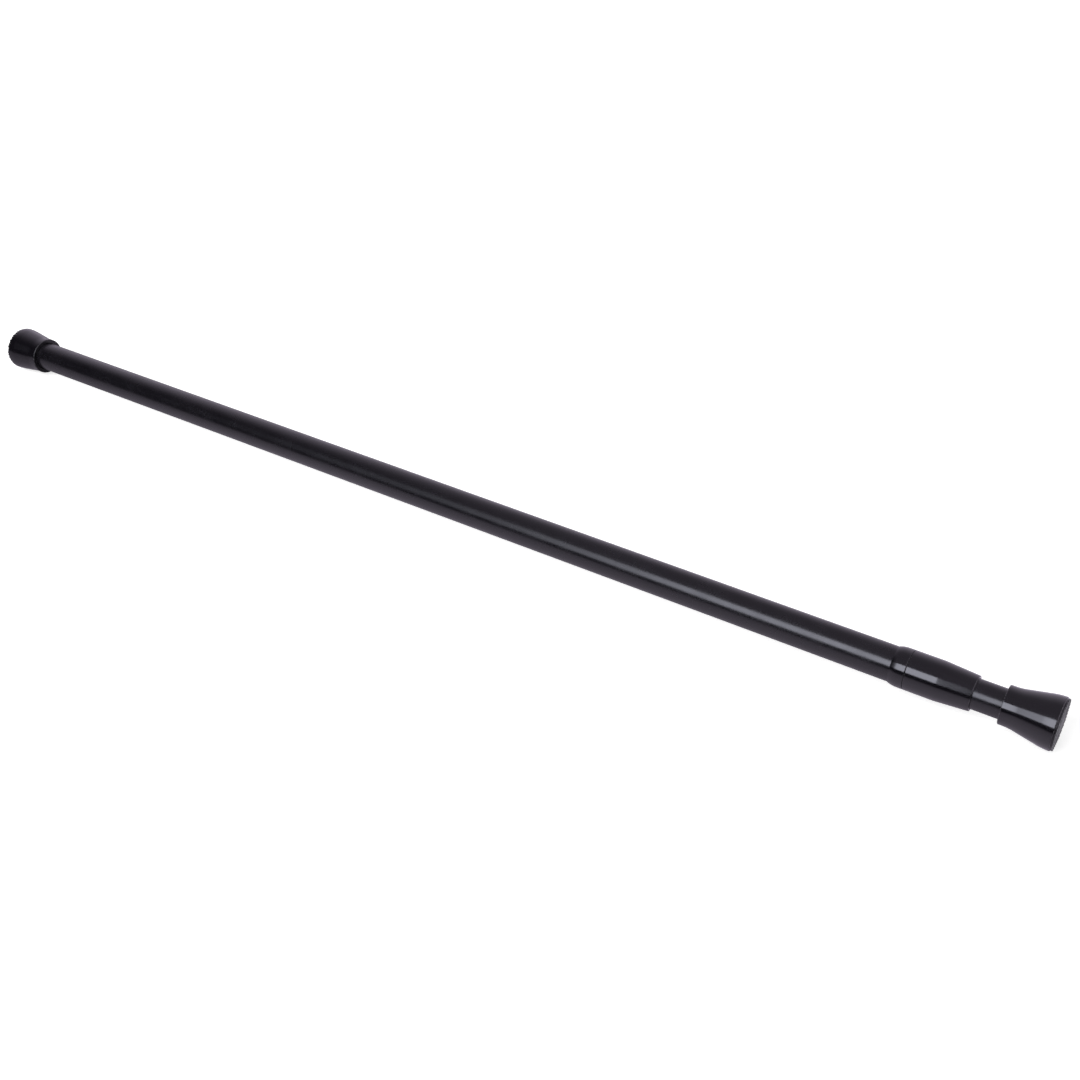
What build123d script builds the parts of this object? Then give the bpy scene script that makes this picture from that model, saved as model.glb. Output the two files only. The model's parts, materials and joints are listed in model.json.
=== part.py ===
from build123d import *
from math import atan, cos, radians, sin, tan
import os

# Telescopic shower curtain rod in millimetres.
# The rod lies along +X with +Z up, and its fixed pad meets the wall in the plane x = 0.
# It is drawn fully collapsed, with its spring out and its nut tight.

# Tubes
outer_tube_diameter = 19.0
outer_tube_length = 658.9
inner_tube_diameter = 16.0
tube_wall = 0.6
extension_travel = 500.0

# Fits, each one a gap on the radius
press_gap = 0.05
running_gap = 0.10
thread_gap = 0.10

# End bells, each measured inward from the wall that it stands against
fixed_rim_diameter = 28.7
fixed_collar_diameter = 24.4
fixed_bell_reach = 26.0
tension_rim_diameter = 27.8
tension_collar_diameter = 20.5
tension_bell_reach = 27.7
rim_band = 3.6
collar_band = 5.1
rim_curve_radius = 31.0
collar_curve_radius = 27.0
edge_chamfer = 0.35
least_straight = 0.05
shell_wall = 1.8
bell_floor = 2.0
recess_depth = 3.3
core_rib_count = 6
core_rib_angle = 12.0
guide_land = 9.0
guide_relief = 0.6

# Wall pads
pad_lip = 0.4
pad_lip_inset = 0.5
stud_height = 0.8
stud_pitch = 2.0
stud_top = 0.9
land_diameter = 10.0

# Screws and their washers
screw_diameter = 2.9
screw_length = 12.0
screw_tip = 2.5
screw_head_diameter = 5.8
screw_head_height = 1.8
screw_head_chamfer = 0.9
drive_width = 0.8
drive_span = 3.2
drive_depth = 1.0
washer_diameter = 8.0
washer_thickness = 0.6
screw_clearance = 0.2

# Sleeve at the joint: clamp collet, split clamp ring and clamp nut
tube_seat = 4.0
collet_web = 3.8
ring_diameter = 21.2
ring_lip = 0.25
ring_shoulder = 4.6
collet_spigot = 24.0
neck_diameter = 18.4
neck_length = 14.8
undercut_width = 1.5
undercut_depth = 0.5
seam_gap = 0.25
seam_chamfer = 0.15
cone_angle = 12.0
cone_length = 3.0
crest_land = 1.0
crest_stand_off = 1.5
clamp_ring_edge = 0.2
clamp_ring_split = 1.6
nut_length = 33.35
nut_parallel = 15.5
nut_diameter = 21.2
nut_nose_diameter = 18.7
nut_break_round = 12.0
nut_nose_chamfer = 0.25

# Travels, with the room that is left at the end of each
nut_advance = 1.5
plunger_travel = 12.0
travel_clearance = 1.0

# Guide bush on the hidden end of the inner tube
bush_land = 6.0
bush_spigot = 14.0
bush_bore = 10.0
lead_in = 0.6
nub_diameter = 4.0
nub_inset = 7.0
nub_recess = 0.25

# Spring and what it works on
plunger_guide_sleeve = 13.0
plunger_guide_flange = 1.2
plunger_diameter = 8.0
plunger_head = 6.0
plunger_spigot = 5.0
spigot_clearance = 0.2
spring_room = 50.0
spring_wire = 1.4
spring_clearance = 0.4
spring_coils = 6
wire_sides = 6
stop_washer_thickness = 0.8
stop_washer_bore = 5.0
spring_stop_length = 12.0
stop_pin_diameter = 3.0
stop_pin_wall = 0.5
stop_pin_slot = 0.5

# Radii
outer_radius = outer_tube_diameter / 2
outer_bore = outer_radius - tube_wall
inner_radius = inner_tube_diameter / 2
inner_bore = inner_radius - tube_wall

# Depths inward from either wall
rim_depth = stud_height + pad_lip
floor_depth = rim_depth + recess_depth
socket_depth = floor_depth + bell_floor

# Stations along the rod, from the fixed wall
outer_tube_start = socket_depth
outer_tube_end = outer_tube_start + outer_tube_length
ring_start = outer_tube_end - tube_seat
spigot_start = ring_start - collet_spigot
seam = outer_tube_end + collet_web
neck_end = seam + neck_length
nut_start = seam + seam_gap
nut_end = nut_start + nut_length
collar_mouth = nut_end + nut_advance + plunger_travel + travel_clearance
tension_wall = collar_mouth + tension_bell_reach
inner_tube_start = spigot_start - extension_travel
guide_end = tension_wall - socket_depth - plunger_travel - travel_clearance
inner_tube_end = guide_end - plunger_guide_flange
plunger_shoulder = inner_tube_end - plunger_guide_sleeve
spring_end = plunger_shoulder - plunger_head
spring_start = spring_end - spring_room
spring_stop_end = spring_start - stop_washer_thickness
spring_stop_start = spring_stop_end - spring_stop_length
stop_pin_station = (spring_stop_start + spring_stop_end) / 2
nub_station = inner_tube_start + nub_inset

# Clamping cones
cone_slope = tan(radians(cone_angle))
clamp_ring_bore = inner_radius + press_gap
crest_radius = clamp_ring_bore + clamp_ring_edge + cone_length * cone_slope
crest_start = neck_end + crest_stand_off
crest_end = crest_start + crest_land


def side_plane(wall=0.0, side=1, turn=0.0):
    """Half section through the axis: local x runs inward from a wall, local y is the radius."""
    tilt = radians(turn)
    normal = (0, -side * cos(tilt), -side * sin(tilt))
    return Plane(origin=(wall, 0, 0), x_dir=(side, 0, 0), z_dir=normal)


def cross_plane(station, side=1):
    """Plane square to the axis, which faces along the rod."""
    return Plane(origin=(station, 0, 0), x_dir=(0, 1, 0), z_dir=(side, 0, 0))


def outline(plane, *corners):
    """Closed outline of corners: distance along the rod, radius and, where it is round, its rounding."""
    with BuildSketch(plane) as section:
        with BuildLine():
            FilletPolyline(
                *[corner[:2] for corner in corners],
                radius=[corner[2] if len(corner) > 2 else 0 for corner in corners],
                close=True,
            )
        make_face()
    return section.sketch


def tube_outline(start, end, outer, inner):
    """Outline of a plain tube wall."""
    return outline(side_plane(), (start, inner), (end, inner), (end, outer), (start, outer))


# End bells

def end_bell(wall, side, rim_diameter, collar_diameter, reach, tube_radius, bore_steps):
    """Moulded bell with a pad recess, a screwed floor, a tube socket and cored pockets behind the pad.

    bore_steps are the corners of the socket's wall, from its floor to its mouth.
    """
    rim = rim_diameter / 2
    collar = collar_diameter / 2
    recess = rim - shell_wall
    flare = (rim - collar) / (reach - rim_depth - rim_band - collar_band)
    # Each curve ends within the straight band beside it
    half_turn = tan(atan(flare) / 2)
    rim_curve = min(rim_curve_radius, (rim_band - edge_chamfer - least_straight) / half_turn)
    collar_curve = min(collar_curve_radius, (collar_band - edge_chamfer - least_straight) / half_turn)
    with BuildPart() as bell:
        revolve(
            outline(
                side_plane(wall, side),
                (floor_depth, 0),
                (floor_depth, recess),
                (rim_depth, recess),
                (rim_depth, rim - edge_chamfer),
                (rim_depth + edge_chamfer, rim),
                (rim_depth + rim_band, rim, rim_curve),
                (reach - collar_band, collar, collar_curve),
                (reach - edge_chamfer, collar),
                (reach, collar - edge_chamfer),
                *bore_steps,
                (socket_depth, 0),
            ),
            axis=Axis.X,
        )
        # Screw hole in the floor
        with BuildSketch(cross_plane(wall + side * floor_depth, side)):
            Circle(screw_diameter / 2 + screw_clearance)
        extrude(amount=bell_floor, mode=Mode.SUBTRACT)
        # Cored pockets between the socket and the flared shell, with ribs left between them
        core_inner = tube_radius + shell_wall
        core_outer = recess - flare * max(0.0, recess_depth - rim_band)
        core_end = floor_depth + (core_outer - core_inner) / flare
        core_sweep = 360 / core_rib_count - core_rib_angle
        for rib in range(core_rib_count):
            pocket = outline(
                side_plane(wall, side, rib * 360 / core_rib_count),
                (floor_depth, core_inner),
                (floor_depth, core_outer),
                (core_end, core_inner),
            )
            revolve(pocket, axis=Axis.X, revolution_arc=core_sweep, mode=Mode.SUBTRACT)
    return bell


fixed_socket = outer_radius + press_gap
fixed_end_bell = end_bell(
    wall=0,
    side=1,
    rim_diameter=fixed_rim_diameter,
    collar_diameter=fixed_collar_diameter,
    reach=fixed_bell_reach,
    tube_radius=fixed_socket,
    bore_steps=[
        (fixed_bell_reach, fixed_socket + edge_chamfer),
        (fixed_bell_reach - edge_chamfer, fixed_socket),
        (socket_depth, fixed_socket),
    ],
)

tension_guide = inner_radius + running_gap
tension_relief = tension_guide + guide_relief
tension_bell = end_bell(
    wall=tension_wall,
    side=-1,
    rim_diameter=tension_rim_diameter,
    collar_diameter=tension_collar_diameter,
    reach=tension_bell_reach,
    tube_radius=tension_relief,
    bore_steps=[
        (tension_bell_reach, tension_guide + edge_chamfer),
        (tension_bell_reach - edge_chamfer, tension_guide),
        (tension_bell_reach - guide_land, tension_guide),
        (tension_bell_reach - guide_land - guide_relief, tension_relief),
        (socket_depth, tension_relief),
    ],
)


# Wall pads

def end_pad(wall, side, rim_diameter):
    """Rubber pad: a plug in the bell's recess and a lip over the rim, with studs round a flat land."""
    lip = rim_diameter / 2 - pad_lip_inset
    plug = rim_diameter / 2 - shell_wall - press_gap
    head_room = washer_diameter / 2 + screw_clearance
    head_depth = floor_depth - washer_thickness - screw_head_height - screw_clearance
    groove_half = (stud_pitch - stud_top) / 2
    grooves_each_side = round(lip / stud_pitch)
    with BuildPart() as pad:
        revolve(
            outline(
                side_plane(wall, side),
                (0, 0),
                (0, lip),
                (rim_depth, lip),
                (rim_depth, plug),
                (floor_depth, plug),
                (floor_depth, head_room),
                (head_depth, head_room),
                (head_depth, 0),
            ),
            axis=Axis.X,
        )
        # V grooves in two directions leave square studs, cut off at the lip
        for turn in (0, 90):
            with BuildSketch(side_plane(wall, side, turn)):
                for step in range(-grooves_each_side, grooves_each_side):
                    middle = (step + 0.5) * stud_pitch
                    with BuildLine():
                        Polyline(
                            (0, middle - groove_half),
                            (0, middle + groove_half),
                            (stud_height, middle),
                            close=True,
                        )
                    make_face()
            extrude(amount=lip, both=True, mode=Mode.SUBTRACT)
        with BuildSketch(cross_plane(wall, side)):
            Circle(land_diameter / 2)
        extrude(amount=stud_height)
    return pad


fixed_end_pad = end_pad(0, 1, fixed_rim_diameter)
tension_pad = end_pad(tension_wall, -1, tension_rim_diameter)


# Screws that hold the bells, hidden by the pads

def end_screw(wall, side):
    """Pan-head screw with a cross recess, seated on its washer and pointing into the rod."""
    seat = floor_depth - washer_thickness
    top = seat - screw_head_height
    tip = seat + screw_length
    shank = screw_diameter / 2
    with BuildPart() as screw:
        revolve(
            outline(
                side_plane(wall, side),
                (top, 0),
                (top, screw_head_diameter / 2 - screw_head_chamfer),
                (top + screw_head_chamfer, screw_head_diameter / 2),
                (seat, screw_head_diameter / 2),
                (seat, shank),
                (tip - screw_tip, shank),
                (tip, 0),
            ),
            axis=Axis.X,
        )
        with BuildSketch(cross_plane(wall + side * top, side)):
            Rectangle(drive_span, drive_width)
            Rectangle(drive_width, drive_span)
        extrude(amount=drive_depth, mode=Mode.SUBTRACT)
    return screw


def end_washer(wall, side):
    """Flat washer between the screw's head and the bell's floor."""
    with BuildPart() as washer:
        with BuildSketch(cross_plane(wall + side * floor_depth, -side)):
            Circle(washer_diameter / 2)
            Circle(screw_diameter / 2 + screw_clearance, mode=Mode.SUBTRACT)
        extrude(amount=washer_thickness)
    return washer


fixed_end_screw = end_screw(0, 1)
fixed_end_washer = end_washer(0, 1)
tension_screw = end_screw(tension_wall, -1)
tension_washer = end_washer(tension_wall, -1)

screw_hole = screw_diameter / 2 + press_gap
screw_reach = floor_depth - washer_thickness + screw_length


# Outer tube and the plug that takes the fixed bell's screw

with BuildPart() as outer_tube:
    revolve(tube_outline(outer_tube_start, outer_tube_end, outer_radius, outer_bore), axis=Axis.X)

plug_radius = outer_bore - press_gap
plug_end = screw_reach + screw_tip
with BuildPart() as fixed_end_plug:
    revolve(
        outline(
            side_plane(),
            (socket_depth, screw_hole),
            (screw_reach, screw_hole),
            (screw_reach, 0),
            (plug_end, 0),
            (plug_end, plug_radius - lead_in),
            (plug_end - lead_in, plug_radius),
            (socket_depth, plug_radius),
        ),
        axis=Axis.X,
    )


# Clamp collet: a spigot in the outer tube, the rounded ring over its end, and a threaded neck

collet_bore = inner_radius + running_gap
spigot_radius = outer_bore - press_gap
neck_radius = neck_diameter / 2
undercut_radius = neck_radius - undercut_depth
ring_radius = ring_diameter / 2
ring_lip_radius = outer_radius + press_gap + ring_lip
seat_mouth_radius = crest_radius + thread_gap - crest_stand_off * cone_slope
seat_depth = (seat_mouth_radius - collet_bore) / cone_slope

with BuildPart() as clamp_collet:
    with BuildSketch(side_plane()):
        with BuildLine():
            Polyline(
                (ring_start, ring_lip_radius),
                (ring_start, outer_radius + press_gap),
                (outer_tube_end, outer_radius + press_gap),
                (outer_tube_end, spigot_radius),
                (spigot_start + lead_in, spigot_radius),
                (spigot_start, spigot_radius - lead_in),
                (spigot_start, collet_bore),
                (neck_end - seat_depth, collet_bore),
                (neck_end, seat_mouth_radius),
                (neck_end, neck_radius - seam_chamfer),
                (neck_end - seam_chamfer, neck_radius),
                (seam + undercut_width, neck_radius),
                (seam + undercut_width, undercut_radius),
                (seam, undercut_radius),
                (seam, ring_radius - seam_chamfer),
                (seam - seam_chamfer, ring_radius),
                (ring_start + ring_shoulder, ring_radius),
            )
            TangentArc(
                (ring_start + ring_shoulder, ring_radius),
                (ring_start, ring_lip_radius),
                tangent=(-1, 0),
            )
        make_face()
    revolve(axis=Axis.X)


# Clamp ring: a split double cone that the nut squeezes onto the inner tube

with BuildPart() as clamp_ring:
    revolve(
        outline(
            side_plane(),
            (crest_start - cone_length, clamp_ring_bore),
            (crest_end + cone_length, clamp_ring_bore),
            (crest_end + cone_length, clamp_ring_bore + clamp_ring_edge),
            (crest_end, crest_radius),
            (crest_start, crest_radius),
            (crest_start - cone_length, clamp_ring_bore + clamp_ring_edge),
        ),
        axis=Axis.X,
    )
    with BuildSketch(cross_plane(crest_start - cone_length)):
        with Locations((crest_radius, 0)):
            Rectangle(crest_radius, clamp_ring_split)
    extrude(amount=2 * cone_length + crest_land, mode=Mode.SUBTRACT)


# Clamp nut: threaded bore, inner cone over the clamp ring, and a tapered nose

thread_radius = neck_radius + thread_gap
nut_nose_bore = inner_radius + running_gap
nut_cone_radius = crest_radius + thread_gap
nut_cone_end = crest_end + (nut_cone_radius - nut_nose_bore) / cone_slope

with BuildPart() as clamp_nut:
    revolve(
        outline(
            side_plane(),
            (nut_start, thread_radius),
            (crest_start, thread_radius),
            (crest_start + thread_radius - nut_cone_radius, nut_cone_radius),
            (crest_end, nut_cone_radius),
            (nut_cone_end, nut_nose_bore),
            (nut_end, nut_nose_bore),
            (nut_end, nut_nose_diameter / 2 - nut_nose_chamfer),
            (nut_end - nut_nose_chamfer, nut_nose_diameter / 2),
            (nut_start + nut_parallel, nut_diameter / 2, nut_break_round),
            (nut_start + seam_chamfer, nut_diameter / 2),
            (nut_start, nut_diameter / 2 - seam_chamfer),
        ),
        axis=Axis.X,
    )


# Inner tube, with two holes for the bush's nubs and a cross hole for the stop's pin

nub_hole = nub_diameter / 2 + press_gap
stop_pin_hole = stop_pin_diameter / 2 + press_gap
with BuildPart() as inner_tube:
    revolve(tube_outline(inner_tube_start, inner_tube_end, inner_radius, inner_bore), axis=Axis.X)
    with BuildSketch(Plane.XZ):
        with Locations((nub_station, 0)):
            Circle(nub_hole)
    extrude(amount=inner_tube_diameter, both=True, mode=Mode.SUBTRACT)
    with BuildSketch(Plane.XY):
        with Locations((stop_pin_station, 0)):
            Circle(stop_pin_hole)
    extrude(amount=inner_tube_diameter, both=True, mode=Mode.SUBTRACT)


# Guide bush: a land that runs in the outer tube and a spigot snapped into the inner tube

bush_start = inner_tube_start - bush_land
bush_end = inner_tube_start + bush_spigot
bush_radius = outer_bore - running_gap
bush_spigot_radius = inner_bore - press_gap
with BuildPart() as guide_bush:
    revolve(
        outline(
            side_plane(),
            (bush_start, 0),
            (bush_end, 0),
            (bush_end, bush_spigot_radius - lead_in),
            (bush_end - lead_in, bush_spigot_radius),
            (inner_tube_start, bush_spigot_radius),
            (inner_tube_start, bush_radius),
            (bush_start + lead_in, bush_radius),
            (bush_start, bush_radius - lead_in),
        ),
        axis=Axis.X,
    )
    with BuildSketch(Plane.XZ):
        with Locations((nub_station, 0)):
            Circle(nub_diameter / 2)
    extrude(amount=inner_radius - nub_recess, both=True)
    with BuildSketch(cross_plane(bush_start)):
        Circle(bush_bore / 2)
    extrude(amount=bush_land + bush_spigot, mode=Mode.SUBTRACT)


# Spring stop, its rolled cross pin and the washer that the spring bears on

with BuildPart() as spring_stop:
    revolve(
        outline(
            side_plane(),
            (spring_stop_start, 0),
            (spring_stop_end, 0),
            (spring_stop_end, bush_spigot_radius),
            (spring_stop_start + lead_in, bush_spigot_radius),
            (spring_stop_start, bush_spigot_radius - lead_in),
        ),
        axis=Axis.X,
    )
    with BuildSketch(Plane.XY):
        with Locations((stop_pin_station, 0)):
            Circle(stop_pin_hole)
    extrude(amount=inner_tube_diameter, both=True, mode=Mode.SUBTRACT)

with BuildPart() as spring_stop_pin:
    with BuildSketch(Plane.XY):
        with Locations((stop_pin_station, 0)):
            Circle(stop_pin_diameter / 2)
            Circle(stop_pin_diameter / 2 - stop_pin_wall, mode=Mode.SUBTRACT)
        with Locations((stop_pin_station + stop_pin_diameter / 2, 0)):
            Rectangle(stop_pin_diameter, stop_pin_slot, mode=Mode.SUBTRACT)
    extrude(amount=inner_radius - nub_recess, both=True)

with BuildPart() as stop_washer:
    with BuildSketch(cross_plane(spring_stop_end)):
        Circle(inner_bore - running_gap)
        Circle(stop_washer_bore / 2, mode=Mode.SUBTRACT)
    extrude(amount=stop_washer_thickness)


# Tension spring: a round-wire coil with its ends ground flat

spring_pitch = spring_room / spring_coils
spring_mean_radius = inner_bore - spring_clearance - spring_wire / 2
with BuildPart() as tension_spring:
    with BuildLine() as coil:
        Helix(
            pitch=spring_pitch,
            height=spring_room,
            radius=spring_mean_radius,
            center=(spring_start, 0, 0),
            direction=(1, 0, 0),
        )
    with BuildSketch(Plane(origin=coil.line @ 0, z_dir=coil.line % 0)):
        RegularPolygon(spring_wire / 2, wire_sides)
    sweep(is_frenet=True)
    split(bisect_by=cross_plane(spring_start), keep=Keep.TOP)
    split(bisect_by=cross_plane(spring_end), keep=Keep.BOTTOM)


# Plunger: a head that the spring pushes, with a stem that carries the tension bell

stem_end = tension_wall - socket_depth
stem_screw_end = tension_wall - screw_reach
plunger_spigot_radius = spring_mean_radius - spring_wire / 2 - spigot_clearance
with BuildPart() as plunger:
    revolve(
        outline(
            side_plane(),
            (spring_end - plunger_spigot, 0),
            (stem_screw_end, 0),
            (stem_screw_end, screw_hole),
            (stem_end, screw_hole),
            (stem_end, plunger_diameter / 2),
            (plunger_shoulder, plunger_diameter / 2),
            (plunger_shoulder, inner_bore - running_gap),
            (spring_end, inner_bore - running_gap),
            (spring_end, plunger_spigot_radius),
            (spring_end - plunger_spigot + lead_in, plunger_spigot_radius),
            (spring_end - plunger_spigot, plunger_spigot_radius - lead_in),
        ),
        axis=Axis.X,
    )


# Plunger guide: a flanged bush in the mouth of the inner tube

with BuildPart() as plunger_guide:
    revolve(
        outline(
            side_plane(),
            (plunger_shoulder, plunger_diameter / 2 + running_gap),
            (guide_end, plunger_diameter / 2 + running_gap),
            (guide_end, inner_radius - running_gap),
            (inner_tube_end, inner_radius - running_gap),
            (inner_tube_end, inner_bore - press_gap),
            (plunger_shoulder + lead_in, inner_bore - press_gap),
            (plunger_shoulder, inner_bore - press_gap - lead_in),
        ),
        axis=Axis.X,
    )


# One STEP file for each piece

pieces = {
    "outer_tube": outer_tube,
    "fixed_end_bell": fixed_end_bell,
    "fixed_end_pad": fixed_end_pad,
    "fixed_end_plug": fixed_end_plug,
    "fixed_end_screw": fixed_end_screw,
    "fixed_end_washer": fixed_end_washer,
    "clamp_collet": clamp_collet,
    "clamp_ring": clamp_ring,
    "clamp_nut": clamp_nut,
    "inner_tube": inner_tube,
    "guide_bush": guide_bush,
    "spring_stop": spring_stop,
    "spring_stop_pin": spring_stop_pin,
    "stop_washer": stop_washer,
    "tension_spring": tension_spring,
    "plunger": plunger,
    "plunger_guide": plunger_guide,
    "tension_bell": tension_bell,
    "tension_pad": tension_pad,
    "tension_screw": tension_screw,
    "tension_washer": tension_washer,
}

os.makedirs("parts", exist_ok=True)
for name, piece in pieces.items():
    piece.part.label = name
    export_step(piece.part, f"parts/{name}.step")
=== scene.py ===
import json
from math import acos, atan2, ceil, cos, pi, radians, sin, tan

import bmesh
import bpy
from mathutils import Matrix, Vector


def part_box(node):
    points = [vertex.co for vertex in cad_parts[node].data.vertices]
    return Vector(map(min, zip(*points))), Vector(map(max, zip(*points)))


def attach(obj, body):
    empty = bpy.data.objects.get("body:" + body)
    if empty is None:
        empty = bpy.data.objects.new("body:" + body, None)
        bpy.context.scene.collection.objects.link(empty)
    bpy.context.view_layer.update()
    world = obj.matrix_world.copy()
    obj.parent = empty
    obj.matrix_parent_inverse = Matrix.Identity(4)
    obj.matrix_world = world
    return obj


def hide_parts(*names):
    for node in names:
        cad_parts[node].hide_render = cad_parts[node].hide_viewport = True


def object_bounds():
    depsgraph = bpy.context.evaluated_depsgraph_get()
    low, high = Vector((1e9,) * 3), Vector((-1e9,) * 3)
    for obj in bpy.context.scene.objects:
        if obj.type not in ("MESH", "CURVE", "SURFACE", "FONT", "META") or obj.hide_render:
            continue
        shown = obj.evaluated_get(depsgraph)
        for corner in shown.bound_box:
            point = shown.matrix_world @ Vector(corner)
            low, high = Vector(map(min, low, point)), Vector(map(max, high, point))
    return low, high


# Telescopic shower curtain rod, in metres.
# The rod lies along +X with +Z up, as the frame has it.

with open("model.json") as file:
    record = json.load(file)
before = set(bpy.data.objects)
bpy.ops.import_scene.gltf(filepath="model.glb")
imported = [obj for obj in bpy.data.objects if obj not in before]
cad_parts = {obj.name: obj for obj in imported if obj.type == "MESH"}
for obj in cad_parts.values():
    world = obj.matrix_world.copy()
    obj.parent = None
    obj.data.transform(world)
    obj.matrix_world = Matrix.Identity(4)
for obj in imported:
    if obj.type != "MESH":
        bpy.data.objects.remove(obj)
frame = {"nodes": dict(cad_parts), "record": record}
cad_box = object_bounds()
MM = 0.001

# Camera, from the outline of the rod in the photograph
CAMERA_PLACE = (0.790, -0.532, 0.434)
CAMERA_TARGET = (0.4477, 0.0, -0.0033)
PHOTO_FOCAL_PIXELS = 1325.0
PHOTO_WIDTH_PIXELS = 1080.0
SENSOR_WIDTH_MM = 36.0

# Roundness of the meshes
RING_STEPS = 144
EDGE_STEPS = 4
ARC_STEP = radians(4)
HOLE_STEPS = 48
SECTOR_STEPS = 12
SHARP_ANGLE = radians(32)
EDGE_FADE = 0.3 * MM
LARGE_ROUNDING = 2 * MM
ON_AXIS = 1e-7


# Sizes read from the frame

def along(node):
    """Start and end of a node along the rod."""
    low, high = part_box(node)
    return low.x, high.x


def outer_radius(node):
    """Largest radius of a turned node."""
    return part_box(node)[1].z


# Meshes

def rounded(corners):
    """Closed outline from corners (along, radius, rounding), with arcs at the rounded ones.

    Returns points (along, radius, edge mask). The edge mask is 1 on a small rounded edge and 0
    elsewhere; the black plastic is lighter there, partly as wear and partly as a painted edge
    highlight.
    """
    points = []
    count = len(corners)
    for index, corner in enumerate(corners):
        here = Vector(corner[:2])
        rounding = corner[2] if len(corner) > 2 else 0.0
        if rounding == 0.0:
            points.append((here.x, here.y, 0.0))
            continue
        to_last = Vector(corners[index - 1][:2]) - here
        to_next = Vector(corners[(index + 1) % count][:2]) - here
        before = to_last.normalized()
        after = to_next.normalized()
        half = acos(max(-1.0, min(1.0, before.dot(after)))) / 2
        reach = rounding / tan(half)
        centre = here + (before + after).normalized() * rounding / sin(half)
        first = here + before * reach - centre
        last = here + after * reach - centre
        turn = atan2(first.x * last.y - first.y * last.x, first.dot(last))
        large = rounding > LARGE_ROUNDING
        small_edge = 0.0 if large else 1.0
        arc_steps = max(EDGE_STEPS, ceil(abs(turn) / ARC_STEP)) if large else EDGE_STEPS
        fade = here + before * (reach + EDGE_FADE)
        if not large and reach + EDGE_FADE < to_last.length / 2:
            points.append((fade.x, fade.y, 0.0))
        for step in range(arc_steps + 1):
            angle = turn * step / arc_steps
            spoke = Vector((
                first.x * cos(angle) - first.y * sin(angle),
                first.x * sin(angle) + first.y * cos(angle),
            ))
            points.append((centre.x + spoke.x, centre.y + spoke.y, small_edge))
        fade = here + after * (reach + EDGE_FADE)
        if not large and reach + EDGE_FADE < to_next.length / 2:
            points.append((fade.x, fade.y, 0.0))
    return points


def turned(name, corners):
    """Solid turned about the rod's axis from a closed outline."""
    mesh = bmesh.new()
    small_edge_layer = mesh.verts.layers.float.new("small_edge_mask")
    rows = []
    for x, radius, small_edge in rounded(corners):
        if radius < ON_AXIS:
            row = [mesh.verts.new((x, 0, 0))] * RING_STEPS
        else:
            row = [
                mesh.verts.new((
                    x,
                    radius * cos(2 * pi * step / RING_STEPS),
                    radius * sin(2 * pi * step / RING_STEPS),
                ))
                for step in range(RING_STEPS)
            ]
        for vertex in row:
            vertex[small_edge_layer] = small_edge
        rows.append(row)
    for index, row in enumerate(rows):
        following = rows[(index + 1) % len(rows)]
        for step in range(RING_STEPS):
            side = (step + 1) % RING_STEPS
            corners_of_face = [row[step], row[side], following[side], following[step]]
            distinct = list(dict.fromkeys(corners_of_face))
            if len(distinct) > 2:
                mesh.faces.new(distinct)
    bmesh.ops.recalc_face_normals(mesh, faces=mesh.faces)
    return as_object(name, mesh)


def as_object(name, mesh):
    """Object from a bmesh, linked to the scene."""
    data = bpy.data.meshes.new(name)
    mesh.to_mesh(data)
    mesh.free()
    piece = bpy.data.objects.new(name, data)
    bpy.context.scene.collection.objects.link(piece)
    return piece


def cylinder_between(name, start, end, radius):
    """Plain closed cylinder, used as a cutter."""
    start = Vector(start)
    end = Vector(end)
    mesh = bmesh.new()
    bmesh.ops.create_cone(
        mesh,
        cap_ends=True,
        segments=HOLE_STEPS,
        radius1=radius,
        radius2=radius,
        depth=(end - start).length,
    )
    piece = as_object(name, mesh)
    rotation = (end - start).to_track_quat("Z", "Y").to_matrix().to_4x4()
    piece.matrix_world = Matrix.Translation((start + end) / 2) @ rotation
    return piece


def sector(name, corners, start, sweep):
    """Solid swept about the rod's axis through part of a turn, from corners (along, radius)."""
    mesh = bmesh.new()
    rows = []
    for step in range(SECTOR_STEPS + 1):
        angle = start + sweep * step / SECTOR_STEPS
        rows.append([
            mesh.verts.new((x, radius * cos(angle), radius * sin(angle))) for x, radius in corners
        ])
    count = len(corners)
    for first, second in zip(rows, rows[1:]):
        for index in range(count):
            side = (index + 1) % count
            mesh.faces.new((first[index], first[side], second[side], second[index]))
    mesh.faces.new(rows[0])
    mesh.faces.new(rows[-1])
    bmesh.ops.recalc_face_normals(mesh, faces=mesh.faces)
    return as_object(name, mesh)


def apply_modifiers(piece):
    """Replaces the mesh by what its modifiers make of it."""
    bpy.context.view_layer.update()
    depsgraph = bpy.context.evaluated_depsgraph_get()
    data = bpy.data.meshes.new_from_object(
        piece.evaluated_get(depsgraph), preserve_all_data_layers=True, depsgraph=depsgraph
    )
    piece.modifiers.clear()
    piece.data = data


def combine(piece, others, operation="DIFFERENCE"):
    """Cuts the others out of the piece, or adds or intersects them, and removes them."""
    for other in others:
        boolean = piece.modifiers.new("combine", "BOOLEAN")
        boolean.object = other
        boolean.operation = operation
        boolean.solver = "EXACT"
    apply_modifiers(piece)
    for other in others:
        bpy.data.objects.remove(other)


def finished(piece, body, nodes, slot):
    """Gives a new piece its shading, the material of its slot and its body, and hides the nodes
    that it stands for.
    """
    piece.data.shade_smooth()
    piece.data.set_sharp_from_angle(angle=SHARP_ANGLE)
    normals = piece.modifiers.new("normals", "WEIGHTED_NORMAL")
    normals.keep_sharp = True
    apply_modifiers(piece)
    piece.data.materials.clear()
    piece.data.materials.append(materials[slot])
    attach(piece, body)
    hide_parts(*nodes)


# Material building blocks

UNIT = (0.0, 1.0)


def new_material(name):
    """Empty node material with its Principled shader."""
    material = bpy.data.materials.new(name)
    material.use_nodes = True
    return material, material.node_tree, material.node_tree.nodes["Principled BSDF"]


def texture_coordinates(tree):
    """Coordinates of the shaded point on its object."""
    return tree.nodes.new("ShaderNodeTexCoord").outputs


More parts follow.
